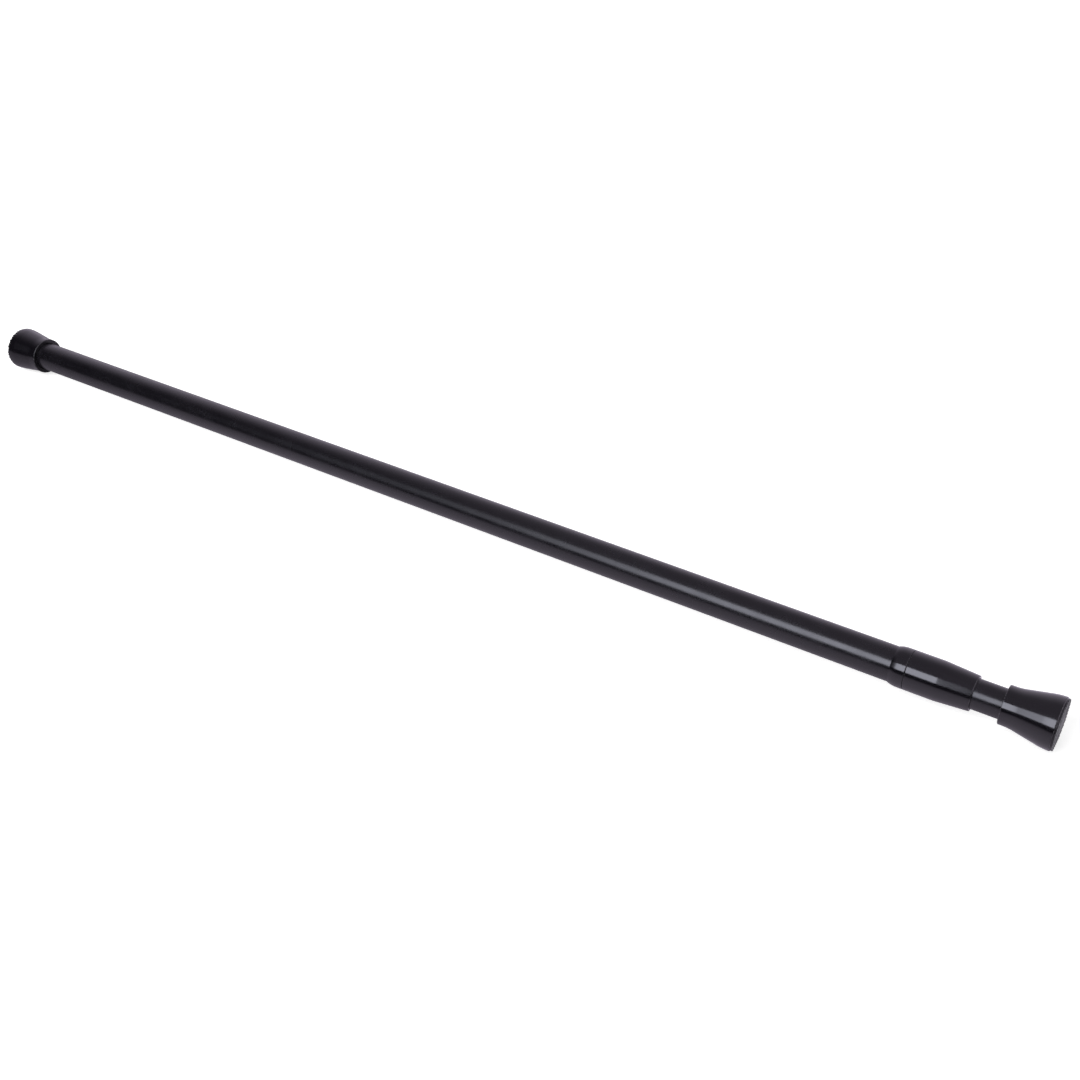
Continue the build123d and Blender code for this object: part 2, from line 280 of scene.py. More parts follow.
def noise(tree, place, scale, detail, stretch=(1.0, 1.0, 1.0)):
    """Noise in object space. Its scale is in cells a metre."""
    mapping = tree.nodes.new("ShaderNodeMapping")
    mapping.inputs["Scale"].default_value = stretch
    texture = tree.nodes.new("ShaderNodeTexNoise")
    texture.inputs["Scale"].default_value = scale
    texture.inputs["Detail"].default_value = detail
    tree.links.new(place, mapping.inputs["Vector"])
    tree.links.new(mapping.outputs["Vector"], texture.inputs["Vector"])
    return texture.outputs["Fac"]


def parts_of(tree, vector):
    """X, Y and Z of a vector."""
    node = tree.nodes.new("ShaderNodeSeparateXYZ")
    tree.links.new(vector, node.inputs[0])
    return node.outputs


def spread(tree, value, from_range, to_range):
    """Maps a value from one range to another."""
    node = tree.nodes.new("ShaderNodeMapRange")
    node.inputs["From Min"].default_value = from_range[0]
    node.inputs["From Max"].default_value = from_range[1]
    node.inputs["To Min"].default_value = to_range[0]
    node.inputs["To Max"].default_value = to_range[1]
    tree.links.new(value, node.inputs["Value"])
    return node.outputs["Result"]


def times(tree, first, second):
    """Product of two values, of which the second may be a plain number."""
    node = tree.nodes.new("ShaderNodeMath")
    node.operation = "MULTIPLY"
    tree.links.new(first, node.inputs[0])
    if isinstance(second, float):
        node.inputs[1].default_value = second
    else:
        tree.links.new(second, node.inputs[1])
    return node.outputs["Value"]


def plus(tree, first, second):
    """Sum of two values, kept between 0 and 1."""
    node = tree.nodes.new("ShaderNodeMath")
    node.operation = "ADD"
    node.use_clamp = True
    tree.links.new(first, node.inputs[0])
    tree.links.new(second, node.inputs[1])
    return node.outputs["Value"]


def profile(tree, value, stops):
    """Curve through stops (position, level), read off at a value."""
    start, end = stops[0][0], stops[-1][0]
    peak = max(level for _, level in stops)
    ramp = tree.nodes.new("ShaderNodeValToRGB")
    elements = ramp.color_ramp.elements
    for position, _ in stops[1:-1]:
        elements.new((position - start) / (end - start))
    for element, (position, level) in zip(elements, stops):
        element.color = (level / peak, level / peak, level / peak, 1)
    tree.links.new(spread(tree, value, (start, end), UNIT), ramp.inputs["Fac"])
    return times(tree, ramp.outputs["Color"], peak)


def colour_mix(tree, factor, first, second):
    """Colour between two colours, each one plain or from a node."""
    node = tree.nodes.new("ShaderNodeMix")
    node.data_type = "RGBA"
    colour_sockets = [socket for socket in node.inputs if socket.type == "RGBA"]
    for socket, colour in zip(colour_sockets, (first, second)):
        if isinstance(colour, tuple):
            socket.default_value = (*colour, 1)
        else:
            tree.links.new(colour, socket)
    tree.links.new(factor, node.inputs["Factor"])
    return next(socket for socket in node.outputs if socket.type == "RGBA")


def level_mix(tree, factor, first, second):
    """Level between two levels from nodes."""
    node = tree.nodes.new("ShaderNodeMix")
    tree.links.new(factor, node.inputs["Factor"])
    tree.links.new(first, node.inputs["A"])
    tree.links.new(second, node.inputs["B"])
    return node.outputs["Result"]


def bump(tree, shader, layers):
    """Stacks height layers (height, distance in metres) into the shader's normal."""
    normal = None
    for height, distance in layers:
        node = tree.nodes.new("ShaderNodeBump")
        node.inputs["Distance"].default_value = distance
        tree.links.new(height, node.inputs["Height"])
        if normal is not None:
            tree.links.new(normal, node.inputs["Normal"])
        normal = node.outputs["Normal"]
    tree.links.new(normal, shader.inputs["Normal"])


# Materials

BLACK_PAINT = (0.0050, 0.0044, 0.0062)
WORN_PAINT = (0.026, 0.025, 0.029)
BLACK_PLASTIC = (0.0046, 0.0040, 0.0058)
# Lighter colour of the plastic's small rounded edges: partly wear, partly a painted edge highlight
WORN_AND_HIGHLIT_PLASTIC = (0.030, 0.029, 0.033)
DARK_RUBBER = (0.0070, 0.0064, 0.0084)
DUSTY_RUBBER = (0.017, 0.016, 0.019)
# Pale grey painted on the pad next to the wall, as a painted highlight on the stud tips
STUD_HIGHLIGHT_GREY = (0.280, 0.272, 0.296)
CREAM_PLASTIC = (0.56, 0.54, 0.48)
PALE_PLASTIC = (0.66, 0.64, 0.59)
DULL_ZINC = (0.50, 0.50, 0.49)
BRIGHT_ZINC = (0.64, 0.64, 0.62)

# Noises: cells a metre, detail and, where it isn't even, stretch
EDGE_PATCHES = (900.0, 4.0)
HANDLING = (70.0, 4.0)
SCUFFS = (260.0, 5.0, (0.25, 1.0, 1.0))
RUBBER_GRAIN = (4200.0, 3.0)
RUBBER_DUST = (380.0, 4.0)
PLASTIC_CLOUD = (160.0, 4.0)
PLASTIC_GRAIN = (2500.0, 2.0)
ZINC_LINES = (3000.0, 3.0, (1.0, 0.15, 0.15))
ZINC_PATCHES = (300.0, 4.0)
PEEL_DETAIL = 2.0

# Ranges of a noise over which it takes effect
MIDDLE = (0.3, 0.7)
PATCHES_SHOWN = (0.42, 0.62)
SCUFFS_SHOWN = (0.66, 0.78)
DUST_SHOWN = (0.45, 0.7)
STUD_HIGHLIGHT_SHOWN = (0.3, 0.6)

# Strengths
SCUFF_STRENGTH = 0.1225
WORN_ROUGHNESS = 0.12
GLOSS_SHARES = (0.85, 1.2)
SWELL_SCALE = 0.12
SWELL_HEIGHT = 2.0
DUST_STRENGTH = 0.7
STUD_HIGHLIGHT_STRENGTHS = (0.6, 1.0)
STUD_HIGHLIGHT_DEPTH = 0.45 * MM
RUBBER_SIDE_ROUGHNESS = (0.16, 0.24)
RUBBER_FACE_ROUGHNESS = 0.55
RUBBER_SPECULAR = 0.35
RUBBER_GRAIN_HEIGHT = 0.003 * MM
PLASTIC_ROUGHNESS = (0.36, 0.5)
PLASTIC_GRAIN_HEIGHT = 0.01 * MM
ZINC_ROUGHNESS = (0.26, 0.42)
ZINC_LINE_HEIGHT = 0.006 * MM


def black_finish(name, base, wear_and_highlight_colour, roughness, peel_scale, peel_height, refraction):
    """Black paint or plastic: fine surface texture, uneven gloss and lighter, duller edges. On the
    plastic the lighter edges are partly wear and partly a painted edge highlight.
    """
    material, tree, shader = new_material(name)
    place = texture_coordinates(tree)["Object"]
    small_edge = tree.nodes.new("ShaderNodeAttribute")
    small_edge.attribute_name = "small_edge_mask"
    patchy = spread(tree, noise(tree, place, *EDGE_PATCHES), PATCHES_SHOWN, UNIT)
    # Lighter edges: partly wear, and on the plastic partly a painted edge highlight
    worn_and_highlit_edge = times(tree, small_edge.outputs["Fac"], patchy)
    scuffs = spread(tree, noise(tree, place, *SCUFFS), SCUFFS_SHOWN, (0.0, SCUFF_STRENGTH))
    edge_and_scuff_lightening = plus(tree, worn_and_highlit_edge, scuffs)
    tree.links.new(colour_mix(tree, edge_and_scuff_lightening, base, wear_and_highlight_colour), shader.inputs["Base Color"])
    uneven = [roughness * share for share in GLOSS_SHARES]
    gloss = plus(
        tree,
        spread(tree, noise(tree, place, *HANDLING), MIDDLE, uneven),
        times(tree, worn_and_highlit_edge, WORN_ROUGHNESS),
    )
    tree.links.new(gloss, shader.inputs["Roughness"])
    shader.inputs["IOR"].default_value = refraction
    bump(tree, shader, [
        (noise(tree, place, peel_scale, PEEL_DETAIL), peel_height),
        (noise(tree, place, peel_scale * SWELL_SCALE, PEEL_DETAIL), peel_height * SWELL_HEIGHT),
    ])
    return material


def pad_rubber():
    """Dark rubber: smooth round its side, and matt where it meets the wall, with a painted
    highlight in pale grey on the stud tips and land there.
    """
    material, tree, shader = new_material("pad_rubber")
    coordinates = texture_coordinates(tree)
    place = coordinates["Object"]
    grain = noise(tree, place, *RUBBER_GRAIN)
    dust = spread(tree, noise(tree, place, *RUBBER_DUST), DUST_SHOWN, (0.0, DUST_STRENGTH))
    station = parts_of(tree, place)["X"]
    fixed_wall = along("fixed_end_pad")[0]
    tension_wall = along("tension_pad")[1]
    near_wall = plus(
        tree,
        spread(tree, station, (fixed_wall, fixed_wall + STUD_HIGHLIGHT_DEPTH), (1.0, 0.0)),
        spread(tree, station, (tension_wall - STUD_HIGHLIGHT_DEPTH, tension_wall), UNIT),
    )
    # Painted highlight: the stud tips and land next to the wall are coloured pale grey, unevenly
    painted_stud_highlight = times(tree, near_wall, spread(tree, grain, STUD_HIGHLIGHT_SHOWN, STUD_HIGHLIGHT_STRENGTHS))
    facing = parts_of(tree, coordinates["Normal"])["X"]
    to_wall = times(tree, facing, facing)
    skin = colour_mix(tree, dust, DARK_RUBBER, DUSTY_RUBBER)
    tree.links.new(colour_mix(tree, painted_stud_highlight, skin, STUD_HIGHLIGHT_GREY), shader.inputs["Base Color"])
    roughness = plus(
        tree,
        spread(tree, grain, MIDDLE, RUBBER_SIDE_ROUGHNESS),
        times(tree, to_wall, RUBBER_FACE_ROUGHNESS),
    )
    tree.links.new(roughness, shader.inputs["Roughness"])
    shader.inputs["Specular IOR Level"].default_value = RUBBER_SPECULAR
    bump(tree, shader, [(grain, RUBBER_GRAIN_HEIGHT)])
    return material


def inner_plastic():
    """Natural moulding with a faint cloudy tone."""
    material, tree, shader = new_material("inner_plastic")
    place = texture_coordinates(tree)["Object"]
    cloud = noise(tree, place, *PLASTIC_CLOUD)
    tone = colour_mix(tree, cloud, CREAM_PLASTIC, PALE_PLASTIC)
    tree.links.new(tone, shader.inputs["Base Color"])
    tree.links.new(spread(tree, cloud, MIDDLE, PLASTIC_ROUGHNESS), shader.inputs["Roughness"])
    bump(tree, shader, [(noise(tree, place, *PLASTIC_GRAIN), PLASTIC_GRAIN_HEIGHT)])
    return material


def zinc_steel():
    """Zinc plated steel with fine lines and dull patches."""
    material, tree, shader = new_material("zinc_steel")
    place = texture_coordinates(tree)["Object"]
    lines = noise(tree, place, *ZINC_LINES)
    tone = colour_mix(tree, noise(tree, place, *ZINC_PATCHES), DULL_ZINC, BRIGHT_ZINC)
    tree.links.new(tone, shader.inputs["Base Color"])
    tree.links.new(spread(tree, lines, MIDDLE, ZINC_ROUGHNESS), shader.inputs["Roughness"])
    shader.inputs["Metallic"].default_value = 1.0
    bump(tree, shader, [(lines, ZINC_LINE_HEIGHT)])
    return material


materials = {
    "tube_paint": black_finish(
        "tube_paint",
        BLACK_PAINT,
        WORN_PAINT,
        roughness=0.25,
        peel_scale=1100.0,
        peel_height=0.0003 * MM,
        refraction=1.5,
    ),
    "black_plastic": black_finish(
        "black_plastic",
        BLACK_PLASTIC,
        WORN_AND_HIGHLIT_PLASTIC,
        roughness=0.14,
        peel_scale=1800.0,
        peel_height=0.0002 * MM,
        refraction=1.52,
    ),
    "pad_rubber": pad_rubber(),
    "inner_plastic": inner_plastic(),
    "zinc_steel": zinc_steel(),
}


# Fits and edges shared with the frame's pieces

PRESS_GAP = 0.05 * MM
RUNNING_GAP = 0.10 * MM
TUBE_WALL = 0.6 * MM
CUT_EDGE = 0.12 * MM
MOULDED_EDGE = 0.25 * MM

outer_start, outer_end = along("outer_tube")
inner_start, inner_end = along("inner_tube")
outer_r = outer_radius("outer_tube")
inner_r = outer_radius("inner_tube")


# Tubes

NUB_HOLE_RADIUS = 2.05 * MM
NUB_INSET = 7.0 * MM
PIN_RADIUS = 1.5 * MM
PIN_HOLE_RADIUS = 1.55 * MM


def tube(name, start, end, radius):
    """Tube wall with slightly rounded cut ends."""
    bore = radius - TUBE_WALL
    return turned(name, [
        (start, bore, CUT_EDGE),
        (start, radius, CUT_EDGE),
        (end, radius, CUT_EDGE),
        (end, bore, CUT_EDGE),
    ])


outer_wall = tube("outer_tube_wall", outer_start, outer_end, outer_r)
finished(outer_wall, "outer", ["outer_tube"], "tube_paint")

# The inner tube has a hole at each end of the cross pin and at each nub of the bush
inner_wall = tube("inner_tube_wall", inner_start, inner_end, inner_r)
pin_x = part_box("spring_stop_pin")[0].x + PIN_RADIUS
nub_x = inner_start + NUB_INSET
across = 2 * inner_r
combine(inner_wall, [
    cylinder_between("pin_cutter", (pin_x, 0, -across), (pin_x, 0, across), PIN_HOLE_RADIUS),
    cylinder_between("nub_cutter", (nub_x, -across, 0), (nub_x, across, 0), NUB_HOLE_RADIUS),
])
finished(inner_wall, "slider", ["inner_tube"], "tube_paint")


# End bells

BELL_EDGE = 0.35 * MM
RIM_BAND = 3.6 * MM
COLLAR_BAND = 5.1 * MM
FIXED_COLLAR_RADIUS = 12.2 * MM
TENSION_COLLAR_RADIUS = 10.25 * MM
RIM_CURVE = 31.0 * MM
COLLAR_CURVE = 27.0 * MM
SHELL_WALL = 1.8 * MM
RECESS_DEPTH = 3.3 * MM
BELL_FLOOR = 2.0 * MM
SCREW_HOLE_RADIUS = 1.65 * MM
RIB_COUNT = 6
RIB_ANGLE = radians(12)
CUTTER_STAND_OUT = 0.5 * MM
GUIDE_LAND = 9.0 * MM
GUIDE_RELIEF = 0.6 * MM


def end_bell(node, pad, body, collar_radius, bore, relief):
    """Moulded bell: flared shell, pad recess with its floor and cored pockets, and the tube's bore.

    relief is how much the bore widens behind its guide land, or 0 for a plain socket.
    """
    start, end = along(node)
    side = 1 if along(pad)[0] < start else -1
    rim_x, mouth_x = (start, end) if side == 1 else (end, start)
    rim_radius = outer_radius(node)
    recess = rim_radius - SHELL_WALL
    floor_x = rim_x + side * RECESS_DEPTH
    socket_x = floor_x + side * BELL_FLOOR
    corners = [
        (floor_x, SCREW_HOLE_RADIUS),
        (floor_x, recess),
        (rim_x, recess, CUT_EDGE),
        (rim_x, rim_radius, BELL_EDGE),
        (rim_x + side * RIM_BAND, rim_radius, RIM_CURVE),
        (mouth_x - side * COLLAR_BAND, collar_radius, COLLAR_CURVE),
        (mouth_x, collar_radius, BELL_EDGE),
        (mouth_x, bore, BELL_EDGE),
    ]
    if relief > 0:
        land_x = mouth_x - side * GUIDE_LAND
        corners += [(land_x, bore), (land_x - side * relief, bore + relief)]
    corners += [(socket_x, bore + relief), (socket_x, SCREW_HOLE_RADIUS)]
    bell = turned(node + "_shell", corners)

    # Pockets between the ribs, as deep as the flare leaves room for
    flare = (rim_radius - collar_radius) / (abs(mouth_x - rim_x) - RIM_BAND - COLLAR_BAND)
    pocket_inner = bore + relief + SHELL_WALL
    pocket_end = floor_x + side * (recess - pocket_inner) / flare
    pocket_start = floor_x - side * CUTTER_STAND_OUT
    pocket = [
        (pocket_start, pocket_inner),
        (pocket_start, recess),
        (floor_x, recess),
        (pocket_end, pocket_inner),
    ]
    rib_turn = 2 * pi / RIB_COUNT
    combine(bell, [
        sector("pocket_cutter", pocket, rib * rib_turn, rib_turn - RIB_ANGLE)
        for rib in range(RIB_COUNT)
    ])
    finished(bell, body, [node], "black_plastic")


end_bell(
    "fixed_end_bell", "fixed_end_pad", "outer", FIXED_COLLAR_RADIUS, outer_r + PRESS_GAP, 0.0
)
end_bell(
    "tension_bell",
    "tension_pad",
    "tension_end",
    TENSION_COLLAR_RADIUS,
    inner_r + RUNNING_GAP,
    GUIDE_RELIEF,
)


# Wall pads

STUD_PITCH = 2.0 * MM
STUD_HEIGHT = 0.8 * MM
STUD_TOP = 0.36 * MM
PAD_EDGE = 0.1 * MM
LAND_RADIUS = 5.0 * MM
HEAD_ROOM_RADIUS = 4.2 * MM
HEAD_ROOM_DEPTH = 2.6 * MM

# Lines of the grid from a stud's middle, in half pitches
STUD_STEPS = (-1.0, -0.86, -0.72, -0.58, -0.46, -0.36, 0.36, 0.46, 0.58, 0.72, 0.86)


def stud_rise(offset):
    """Share of a stud's height at an offset from its middle, in half pitches, from 0 to 1."""
    half_top = STUD_TOP / (STUD_PITCH / 2)
    slope = min(1.0, max(0.0, (1.0 - abs(offset)) / (1.0 - half_top)))
    return slope * slope * (3 - 2 * slope)


def stud_field(name, wall, inward, radius):
    """Square plate with a grid of studs on its wall side, larger than the round pad."""
    mesh = bmesh.new()
    cells = ceil(radius / STUD_PITCH) + 1
    offsets = [cell + step / 2 for cell in range(-cells, cells) for step in STUD_STEPS]
    back = wall + inward * (STUD_HEIGHT + PAD_EDGE)
    front_rows = []
    back_rows = []
    for sideways in offsets:
        front = []
        behind = []
        y = sideways * STUD_PITCH
        for up in offsets:
            rise = stud_rise(2 * (sideways - round(sideways))) * stud_rise(2 * (up - round(up)))
            depth = STUD_HEIGHT * (1 - rise)
            front.append(mesh.verts.new((wall + inward * depth, y, up * STUD_PITCH)))
            behind.append(mesh.verts.new((back, y, up * STUD_PITCH)))
        front_rows.append(front)
        back_rows.append(behind)
    last = len(offsets) - 1
    for rows in (front_rows, back_rows):
        for row, following in zip(rows, rows[1:]):
            for index in range(last):
                mesh.faces.new((
                    row[index], row[index + 1], following[index + 1], following[index]
                ))
    borders = (
        (front_rows[0], back_rows[0]),
        (front_rows[-1], back_rows[-1]),
        ([row[0] for row in front_rows], [row[0] for row in back_rows]),
        ([row[-1] for row in front_rows], [row[-1] for row in back_rows]),
    )
    for index in range(last):
        for front, behind in borders:
            mesh.faces.new((front[index], front[index + 1], behind[index + 1], behind[index]))
    bmesh.ops.recalc_face_normals(mesh, faces=mesh.faces)
    return as_object(name, mesh)


def end_pad(node, bell, body):
    """Rubber pad: a plug in the bell, a lip over its rim, and studs round a flat land."""
    start, end = along(node)
    bell_start, bell_end = along(bell)
    inward = 1 if start < bell_start else -1
    wall, plug_x = (start, end) if inward == 1 else (end, start)
    rim_x = bell_start if inward == 1 else bell_end
    lip = outer_radius(node)
    plug = outer_radius(bell) - SHELL_WALL - PRESS_GAP
    groove_x = wall + inward * STUD_HEIGHT
    head_room_x = wall + inward * HEAD_ROOM_DEPTH
    pad = turned(node + "_rubber", [
        (groove_x, 0),
        (groove_x, lip, PAD_EDGE),
        (rim_x, lip, PAD_EDGE),
        (rim_x, plug),
        (plug_x, plug, MOULDED_EDGE),
        (plug_x, HEAD_ROOM_RADIUS),
        (head_room_x, HEAD_ROOM_RADIUS),
        (head_room_x, 0),
    ])
    studs = stud_field("studs", wall, inward, lip)
    trim = turned("stud_trim", [
        (wall - inward * STUD_HEIGHT, 0),
        (wall - inward * STUD_HEIGHT, lip),
        (groove_x + inward * STUD_HEIGHT, lip),
        (groove_x + inward * STUD_HEIGHT, 0),
    ])
    combine(studs, [trim], "INTERSECT")
    land = turned("land", [
        (wall, 0),
        (wall, LAND_RADIUS, PAD_EDGE),
        (groove_x + inward * PAD_EDGE, LAND_RADIUS),
        (groove_x + inward * PAD_EDGE, 0),
    ])
    combine(pad, [studs, land], "UNION")
    finished(pad, body, [node], "pad_rubber")


end_pad("fixed_end_pad", "fixed_end_bell", "outer")
end_pad("tension_pad", "tension_bell", "tension_end")


# Sleeve at the joint: the collet with its rounded ring, and the clamping nut

TUBE_SEAT = 4.0 * MM
COLLET_WEB = 3.8 * MM
RING_LIP = 0.25 * MM
RING_SHOULDER = 4.6 * MM
SHOULDER_STEPS = 10
SPIGOT_LEAD = 0.6 * MM
SEAM_EDGE = 0.15 * MM
NECK_RADIUS = 9.2 * MM
UNDERCUT_WIDTH = 1.5 * MM
UNDERCUT_DEPTH = 0.5 * MM
SEAT_DEPTH = 2.4 * MM
SEAT_MOUTH_RADIUS = 8.66 * MM
NUT_PARALLEL = 15.5 * MM
NUT_NOSE_RADIUS = 9.35 * MM
NUT_BREAK = 12.0 * MM
THREAD_GAP = 0.10 * MM
CREST_STAND_OFF = 1.5 * MM
CREST_LAND = 1.0 * MM
NUT_CONE_RADIUS = 8.99 * MM
CONE_SLOPE = tan(radians(12))

sleeve_radius = outer_radius("clamp_nut")
spigot_x, neck_x = along("clamp_collet")
nut_x, nose_x = along("clamp_nut")
ring_x = outer_end - TUBE_SEAT
seam_x = outer_end + COLLET_WEB
inner_bore = inner_r + RUNNING_GAP

# The ring's shoulder is an arc from the sleeve's full radius down to its lip on the tube
shoulder_x = ring_x + RING_SHOULDER
lip_radius = outer_r + PRESS_GAP + RING_LIP
shoulder_drop = sleeve_radius - lip_radius
shoulder_curve = (RING_SHOULDER ** 2 + shoulder_drop ** 2) / (2 * shoulder_drop)
shoulder_turn = acos(1 - shoulder_drop / shoulder_curve)
shoulder = [
    (
        shoulder_x - shoulder_curve * sin(shoulder_turn * step / SHOULDER_STEPS),
        sleeve_radius - shoulder_curve * (1 - cos(shoulder_turn * step / SHOULDER_STEPS)),
    )
    for step in range(SHOULDER_STEPS + 1)
]
collet = turned("clamp_collet_body", [
    (ring_x, outer_r + PRESS_GAP),
    (outer_end, outer_r + PRESS_GAP),
    (outer_end, outer_r - TUBE_WALL - PRESS_GAP),
    (spigot_x, outer_r - TUBE_WALL - PRESS_GAP, SPIGOT_LEAD),
    (spigot_x, inner_bore),
    (neck_x - SEAT_DEPTH, inner_bore),
    (neck_x, SEAT_MOUTH_RADIUS),
    (neck_x, NECK_RADIUS, SEAM_EDGE),
    (seam_x + UNDERCUT_WIDTH, NECK_RADIUS),
    (seam_x + UNDERCUT_WIDTH, NECK_RADIUS - UNDERCUT_DEPTH),
    (seam_x, NECK_RADIUS - UNDERCUT_DEPTH),
    (seam_x, sleeve_radius, SEAM_EDGE),
    *shoulder,
])
finished(collet, "outer", ["clamp_collet"], "black_plastic")

crest_x = neck_x + CREST_STAND_OFF
crest_end_x = crest_x + CREST_LAND
thread_radius = NECK_RADIUS + THREAD_GAP
nut = turned("clamp_nut_body", [
    (nut_x, thread_radius),
    (crest_x, thread_radius),
    (crest_x + thread_radius - NUT_CONE_RADIUS, NUT_CONE_RADIUS),
    (crest_end_x, NUT_CONE_RADIUS),
    (crest_end_x + (NUT_CONE_RADIUS - inner_bore) / CONE_SLOPE, inner_bore),
    (nose_x, inner_bore, CUT_EDGE),
    (nose_x, NUT_NOSE_RADIUS, MOULDED_EDGE),
    (nut_x + NUT_PARALLEL, sleeve_radius, NUT_BREAK),
    (nut_x, sleeve_radius, SEAM_EDGE),
])
finished(nut, "nut", ["clamp_nut"], "black_plastic")


# Finish of the frame's own pieces that stay

for node_name, node in frame["nodes"].items():
    if node.hide_render:
        continue
    slot_name = next(
        part["material_slot"] for part in frame["record"]["subparts"] if part["node"] == node_name
    )
    node.data.materials.clear()
    node.data.materials.append(materials[slot_name])


# Floor, light and camera

FLOOR_DROP = 0.5 * MM
FLOOR_SIZE = 60.0
WHITE = (1.0, 1.0, 1.0, 1.0)
ROOM_LIGHT = 0.45
PAPER = (0.85, 0.85, 0.85, 1.0)
PAPER_LIFT = 0.62
PAPER_ROUGHNESS = 0.9
LAMP_ALONG = (-0.50, 0.65)
LAMP_ANGLE = radians(35.0)
LAMP_DISTANCE = 1.5
LAMP_HEIGHT = 1.1
LAMP_POWER = 20.0

# Levels that reflections see, as stops of (metres or degrees, level).
# Angles climb round the rod from the floor on the camera's side.
# The two blends are the shares of the far and the right part of the tent along the rod.
CARD_STEPS = 24
KEY_SPAN = (17.5, 49.5)
KEY_ALONG = (
    (-1.0, 0.1), (-0.77, 0.25), (-0.566, 0.5), (-0.3, 1.2),
    (-0.174, 2.1), (-0.057, 4.5), (0.026, 6.2), (0.645, 7.3),
)
TENT_STEPS = 60
TENT_DISTANCE = 1.7
TENT_START = -8.0
TENT_END = 3.0
TENT_SPAN = (-0.3, 180.3)
TENT_NEAR = (
    (0.0, 0.0), (49.0, 0.0), (52.0, 0.4), (108.0, 0.4),
    (122.0, 0.45), (140.0, 0.72), (155.0, 0.95), (180.0, 1.0),
)
TENT_FAR = (
    (0.0, 0.0), (55.0, 0.0), (72.0, 0.06), (90.0, 0.26),
    (105.0, 0.52), (123.0, 0.82), (150.0, 0.95), (180.0, 1.0),
)
TENT_BLEND = ((-1.0, 1.0), (-0.3, 0.0))
TENT_RIGHT = (
    (0.0, 0.0), (25.0, 0.0), (35.0, 2.3), (120.0, 2.3), (140.0, 1.0), (180.0, 1.0),
)
TENT_RIGHT_BLEND = ((0.9, 0.0), (1.1, 1.0))
# Floor as reflections see it: painted light, with a painted contact shadow next to the rod, dimmer
# far off and to the left
FLOOR_PAINTED_LIGHT_TOWARDS_CAMERA = (
    (-0.03, 1.0), (-0.01, 0.5), (0.002, 0.35), (0.008, 0.65), (0.016, 0.87),
    (0.03, 0.93), (0.048, 0.83), (0.14, 0.6), (0.22, 0.35), (0.3, 0.0),
)
FLOOR_PAINTED_LIGHT_ALONG = ((0.0, 0.52), (0.3, 1.0))
KEY_TINT = (0.86, 0.87, 1.0)
PAPER_TINT = (0.91, 0.82, 1.0)


def ray_kind(tree, *kinds):
    """1 for rays of the kinds named, 0 for other light."""
    paths = tree.nodes.new("ShaderNodeLightPath")
    seen = paths.outputs[kinds[0]]
    for kind in kinds[1:]:
        seen = plus(tree, seen, paths.outputs[kind])
    return seen


def place_parts(tree):
    """Coordinates of the shaded point in the frame."""
    return parts_of(tree, tree.nodes.new("ShaderNodeNewGeometry").outputs["Position"])


def towards_camera(tree, parts):
    """Distance from the rod's axis on the camera's side, along the floor."""
    return times(tree, parts["Y"], -1.0)


def emission(tree, tint, strength):
    """Glow of a given tint and strength."""
    node = tree.nodes.new("ShaderNodeEmission")
    node.inputs["Color"].default_value = (*tint, 1)
    tree.links.new(strength, node.inputs["Strength"])
    return node.outputs[0]


def use_as_surface(tree, shader):
    """Makes a shader the material's surface."""
    tree.links.new(shader, tree.nodes["Material Output"].inputs["Surface"])


def round_the_rod(x, angle, distance):
    """Point at an angle round the rod, from the floor on the camera's side, and a distance."""
    return Vector((x, -distance * cos(angle), distance * sin(angle)))


def soft_box(name, start_x, end_x, angle, distance, height, power):
    """Area lamp that faces the rod. Reflections see a card in its place."""
    light = bpy.data.lights.new(name, "AREA")
    light.shape = "RECTANGLE"
    light.size = end_x - start_x
    light.size_y = height
    light.energy = power
    lamp = bpy.data.objects.new(name, light)
    bpy.context.scene.collection.objects.link(lamp)
    lamp.location = round_the_rod((start_x + end_x) / 2, angle, distance)
    aim = Vector((lamp.location.x, 0, 0)) - lamp.location
    lamp.rotation_euler = aim.to_track_quat("-Z", "Y").to_euler()
    lamp.visible_camera = False
    lamp.visible_glossy = False


def card(name, start_x, end_x, start_angle, end_angle, distance, steps):
    """Curved card round the rod that only reflections see. Returns its material's empty tree."""
    mesh = bmesh.new()
    rows = []
    for step in range(steps + 1):
        angle = radians(start_angle + (end_angle - start_angle) * step / steps)
        rows.append([
            mesh.verts.new(round_the_rod(x, angle, distance)) for x in (start_x, end_x)
        ])
    for row, following in zip(rows, rows[1:]):
        mesh.faces.new((row[0], row[1], following[1], following[0]))
    piece = as_object(name, mesh)
    material, tree, shader = new_material(name)
    tree.nodes.remove(shader)
    piece.data.materials.append(material)
    piece.visible_camera = False
    piece.visible_diffuse = False
    piece.visible_transmission = False
    piece.visible_shadow = False
    return tree


# Room: white to the eye and in reflections, dimmer as light on the object
world = bpy.data.worlds.new("studio")
bpy.context.scene.world = world
world.use_nodes = True
world_tree = world.node_tree
room = world_tree.nodes["Background"]
room.inputs["Color"].default_value = WHITE
room_seen = ray_kind(world_tree, "Is Camera Ray", "Is Glossy Ray", "Is Transmission Ray")
room_level = spread(world_tree, room_seen, UNIT, (ROOM_LIGHT, 1.0))
world_tree.links.new(room_level, room.inputs["Strength"])

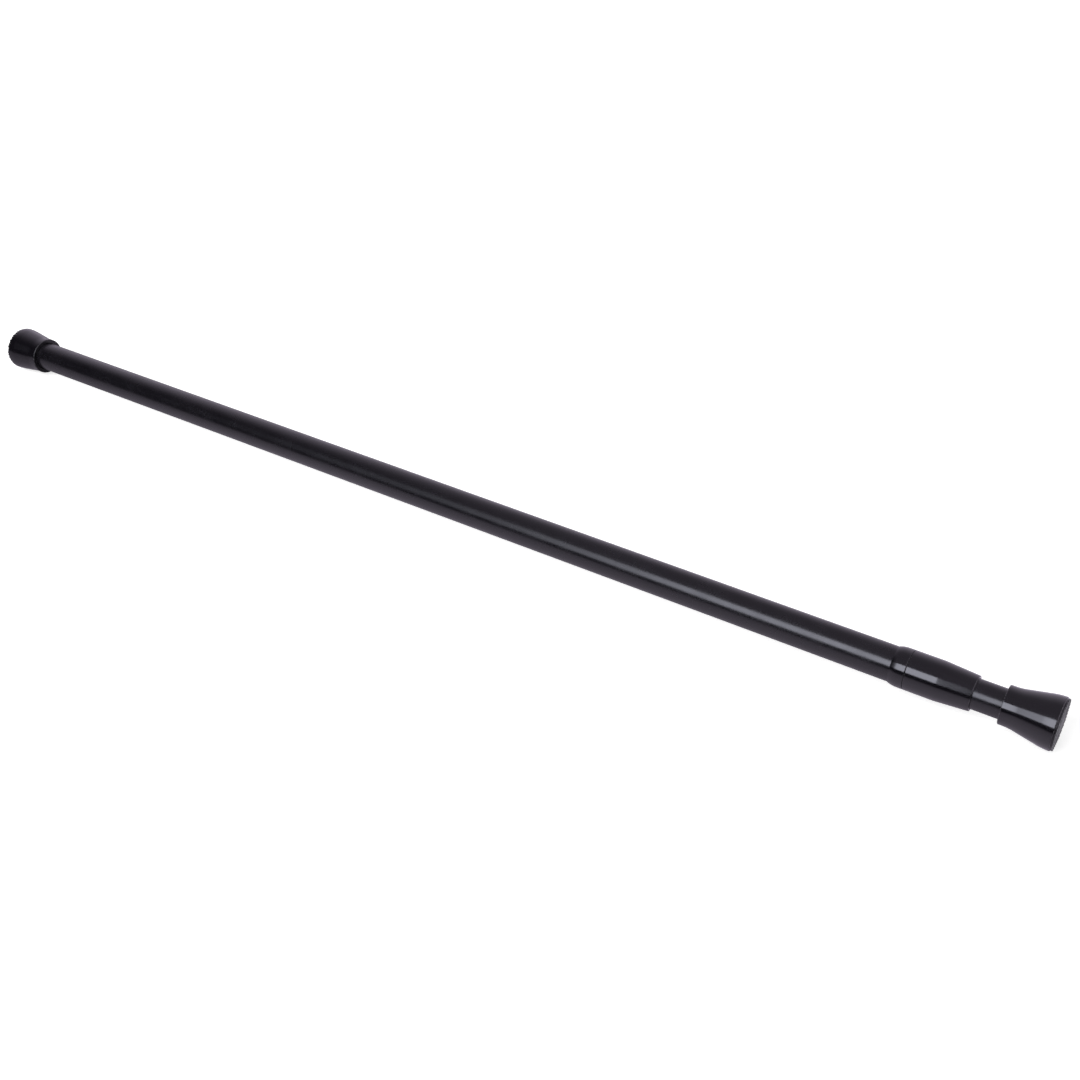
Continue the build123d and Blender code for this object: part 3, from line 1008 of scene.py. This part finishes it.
# Floor: white paper that keeps the shadow. Reflections see it as a glow of painted light graded
# towards the camera, with a painted contact shadow by the rod, and dimmer far off and towards the
# left.
floor_material, floor_tree, floor_shader = new_material("floor_paper")
floor_shader.inputs["Base Color"].default_value = PAPER
floor_shader.inputs["Roughness"].default_value = PAPER_ROUGHNESS
floor_shader.inputs["Specular IOR Level"].default_value = 0.0
floor_shader.inputs["Emission Color"].default_value = WHITE
floor_seen = ray_kind(floor_tree, "Is Camera Ray", "Is Transmission Ray")
lift = spread(floor_tree, floor_seen, UNIT, (0.0, PAPER_LIFT))
floor_tree.links.new(lift, floor_shader.inputs["Emission Strength"])
floor_place = place_parts(floor_tree)
# Painted light of the floor for reflections, with its painted contact shadow
painted_floor_light = times(
    floor_tree,
    profile(floor_tree, towards_camera(floor_tree, floor_place), FLOOR_PAINTED_LIGHT_TOWARDS_CAMERA),
    profile(floor_tree, floor_place["X"], FLOOR_PAINTED_LIGHT_ALONG),
)
choice = floor_tree.nodes.new("ShaderNodeMixShader")
floor_tree.links.new(ray_kind(floor_tree, "Is Glossy Ray"), choice.inputs[0])
floor_tree.links.new(floor_shader.outputs[0], choice.inputs[1])
floor_tree.links.new(emission(floor_tree, PAPER_TINT, painted_floor_light), choice.inputs[2])
use_as_surface(floor_tree, choice.outputs[0])
low, high = cad_box
floor_centre = ((low[0] + high[0]) / 2, 0, low[2] - FLOOR_DROP)
bpy.ops.mesh.primitive_plane_add(size=FLOOR_SIZE, location=floor_centre)
floor = bpy.context.object
floor.name = "floor"
floor.data.materials.append(floor_material)

# Lamp, and the bright card that reflections see in its place
soft_box("key", *LAMP_ALONG, LAMP_ANGLE, LAMP_DISTANCE, LAMP_HEIGHT, LAMP_POWER)
key_tree = card(
    "key_card", KEY_ALONG[0][0], KEY_ALONG[-1][0], *KEY_SPAN, LAMP_DISTANCE, CARD_STEPS
)
key_level = profile(key_tree, place_parts(key_tree)["X"], KEY_ALONG)
use_as_surface(key_tree, emission(key_tree, KEY_TINT, key_level))

# Tent: graded round the rod, in three parts that blend along it
tent_tree = card("tent", TENT_START, TENT_END, *TENT_SPAN, TENT_DISTANCE, TENT_STEPS)
tent_place = place_parts(tent_tree)
arctangent = tent_tree.nodes.new("ShaderNodeMath")
arctangent.operation = "ARCTAN2"
tent_tree.links.new(tent_place["Z"], arctangent.inputs[0])
tent_tree.links.new(towards_camera(tent_tree, tent_place), arctangent.inputs[1])
degrees = times(tent_tree, arctangent.outputs[0], 180 / pi)
left_level = level_mix(
    tent_tree,
    profile(tent_tree, tent_place["X"], TENT_BLEND),
    profile(tent_tree, degrees, TENT_NEAR),
    profile(tent_tree, degrees, TENT_FAR),
)
tent_level = level_mix(
    tent_tree,
    profile(tent_tree, tent_place["X"], TENT_RIGHT_BLEND),
    left_level,
    profile(tent_tree, degrees, TENT_RIGHT),
)
use_as_surface(tent_tree, emission(tent_tree, PAPER_TINT, tent_level))

camera_data = bpy.data.cameras.new("camera")
camera_data.sensor_width = SENSOR_WIDTH_MM
camera_data.lens = PHOTO_FOCAL_PIXELS / PHOTO_WIDTH_PIXELS * SENSOR_WIDTH_MM
camera = bpy.data.objects.new("camera", camera_data)
bpy.context.scene.collection.objects.link(camera)
camera.location = CAMERA_PLACE
camera_aim = Vector(CAMERA_TARGET) - Vector(CAMERA_PLACE)
camera.rotation_euler = camera_aim.to_track_quat("-Z", "Y").to_euler()
bpy.context.scene.camera = camera

bpy.context.scene.view_settings.view_transform = "Standard"
